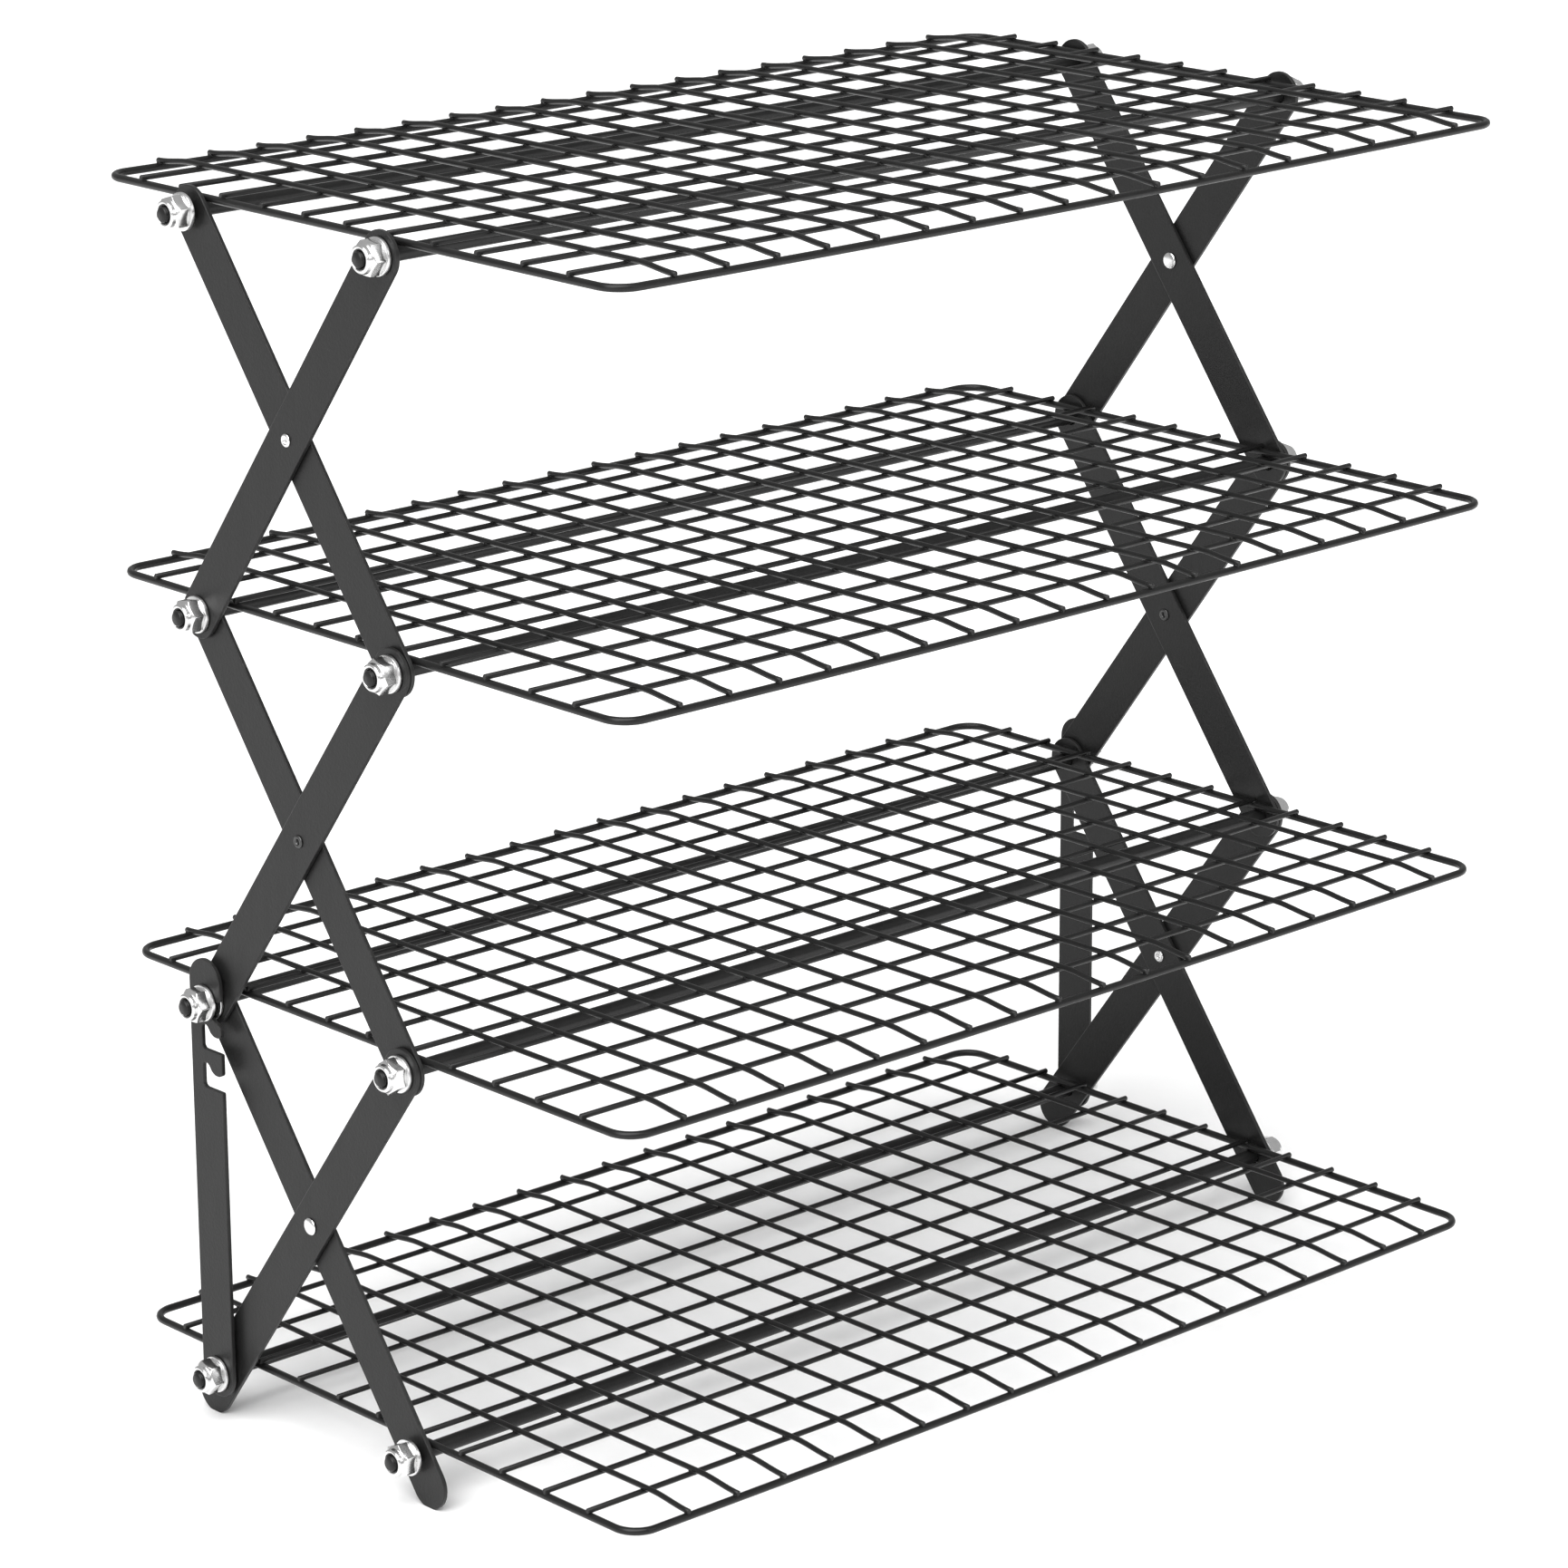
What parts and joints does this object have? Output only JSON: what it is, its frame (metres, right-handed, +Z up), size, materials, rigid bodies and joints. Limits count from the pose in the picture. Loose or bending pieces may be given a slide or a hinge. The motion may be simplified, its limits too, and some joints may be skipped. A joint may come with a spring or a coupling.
{
  "type": "folding cooling rack",
  "caption": "Folding wire cooling rack: stacked mesh shelves on crossed flat bars at both ends, held open by notched lock struts at the back.",
  "frame": {"origin": "centre of the footprint box, on the table plane under the feet", "axes": "+X to the right along the shelves, +Y to the back where the lock struts are, +Z up"},
  "size_m": [0.4982, 0.2946, 0.4876],
  "materials": {
    "black_paint": "satin",
    "zinc": "bright zinc",
    "rivet_steel": "bright"
  },
  "bodies": {
    "base": {"shelf_0": "black_paint", "back_rod_0": "black_paint", "nut_back_0_left": "zinc", "nut_back_0_right": "zinc", "spacer_0_left": "zinc", "spacer_0_right": "zinc"},
    "outer_low": {"outer_bar_low_left": "black_paint", "outer_bar_low_right": "black_paint", "rivet_low_left": "rivet_steel", "rivet_low_right": "rivet_steel", "front_rod_1": "black_paint", "nut_front_1_left": "zinc", "nut_front_1_right": "zinc"},
    "inner_low": {"inner_bar_low_left": "black_paint", "inner_bar_low_right": "black_paint", "front_rod_0": "black_paint", "nut_front_0_left": "zinc", "nut_front_0_right": "zinc"},
    "shelf_set_1": {"shelf_1": "black_paint", "back_rod_1": "black_paint", "nut_back_1_left": "zinc", "nut_back_1_right": "zinc", "spacer_1_left": "zinc", "spacer_1_right": "zinc"},
    "outer_mid": {"outer_bar_mid_left": "black_paint", "outer_bar_mid_right": "black_paint", "rivet_mid_left": "rivet_steel", "rivet_mid_right": "rivet_steel", "front_rod_2": "black_paint", "nut_front_2_left": "zinc", "nut_front_2_right": "zinc"},
    "inner_mid": {"inner_bar_mid_left": "black_paint", "inner_bar_mid_right": "black_paint"},
    "shelf_set_2": {"shelf_2": "black_paint", "back_rod_2": "black_paint", "nut_back_2_left": "zinc", "nut_back_2_right": "zinc"},
    "outer_top": {"outer_bar_top_left": "black_paint", "outer_bar_top_right": "black_paint", "rivet_top_left": "rivet_steel", "rivet_top_right": "rivet_steel", "front_rod_3": "black_paint", "nut_front_3_left": "zinc", "nut_front_3_right": "zinc"},
    "inner_top": {"inner_bar_top_left": "black_paint", "inner_bar_top_right": "black_paint"},
    "shelf_set_3": {"shelf_3": "black_paint", "back_rod_3": "black_paint", "nut_back_3_left": "zinc", "nut_back_3_right": "zinc"},
    "lock_left": {"lock_strut_left": "black_paint"},
    "lock_right": {"lock_strut_right": "black_paint"}
  },
  "joints": [
    {"name": "fold", "type": "hinge", "parent": "base", "child": "outer_low", "pos_m": [0, 0.088, 0.01912], "axis": [1, 0, 0], "range_deg": [0, 44.5]},
    {"name": "cross_low", "type": "hinge", "parent": "outer_low", "child": "inner_low", "pos_m": [0, 0.031, 0.09562], "axis": [1, 0, 0], "range_deg": [-89, 0]},
    {"name": "shelf_1_level", "type": "hinge", "parent": "inner_low", "child": "shelf_set_1", "pos_m": [0, 0.088, 0.17212], "axis": [1, 0, 0], "range_deg": [0, 44.5]},
    {"name": "outer_mid_turn", "type": "hinge", "parent": "shelf_set_1", "child": "outer_mid", "pos_m": [0, 0.088, 0.17212], "axis": [1, 0, 0], "range_deg": [0, 44.5]},
    {"name": "cross_mid", "type": "hinge", "parent": "outer_mid", "child": "inner_mid", "pos_m": [0, 0.031, 0.24862], "axis": [1, 0, 0], "range_deg": [-89, 0]},
    {"name": "shelf_2_level", "type": "hinge", "parent": "inner_mid", "child": "shelf_set_2", "pos_m": [0, 0.088, 0.32512], "axis": [1, 0, 0], "range_deg": [0, 44.5]},
    {"name": "outer_top_turn", "type": "hinge", "parent": "shelf_set_2", "child": "outer_top", "pos_m": [0, 0.088, 0.32512], "axis": [1, 0, 0], "range_deg": [0, 44.5]},
    {"name": "cross_top", "type": "hinge", "parent": "outer_top", "child": "inner_top", "pos_m": [0, 0.031, 0.40162], "axis": [1, 0, 0], "range_deg": [-89, 0]},
    {"name": "shelf_3_level", "type": "hinge", "parent": "inner_top", "child": "shelf_set_3", "pos_m": [0, 0.088, 0.47812], "axis": [1, 0, 0], "range_deg": [0, 44.5]},
    {"name": "lock_left_swing", "type": "hinge", "parent": "base", "child": "lock_left", "pos_m": [0, 0.088, 0.01912], "axis": [1, 0, 0], "range_deg": [-89, 0]},
    {"name": "lock_right_swing", "type": "hinge", "parent": "base", "child": "lock_right", "pos_m": [0, 0.088, 0.01912], "axis": [1, 0, 0], "range_deg": [-89, 0]}
  ],
  "couplings": [
    {"joint": "cross_low", "follows": "fold", "ratio": -2},
    {"joint": "shelf_1_level", "follows": "fold", "ratio": 1},
    {"joint": "outer_mid_turn", "follows": "fold", "ratio": 1},
    {"joint": "cross_mid", "follows": "fold", "ratio": -2},
    {"joint": "shelf_2_level", "follows": "fold", "ratio": 1},
    {"joint": "outer_top_turn", "follows": "fold", "ratio": 1},
    {"joint": "cross_top", "follows": "fold", "ratio": -2},
    {"joint": "shelf_3_level", "follows": "fold", "ratio": 1},
    {"joint": "lock_left_swing", "follows": "fold", "ratio": -2},
    {"joint": "lock_right_swing", "follows": "fold", "ratio": -2}
  ]
}
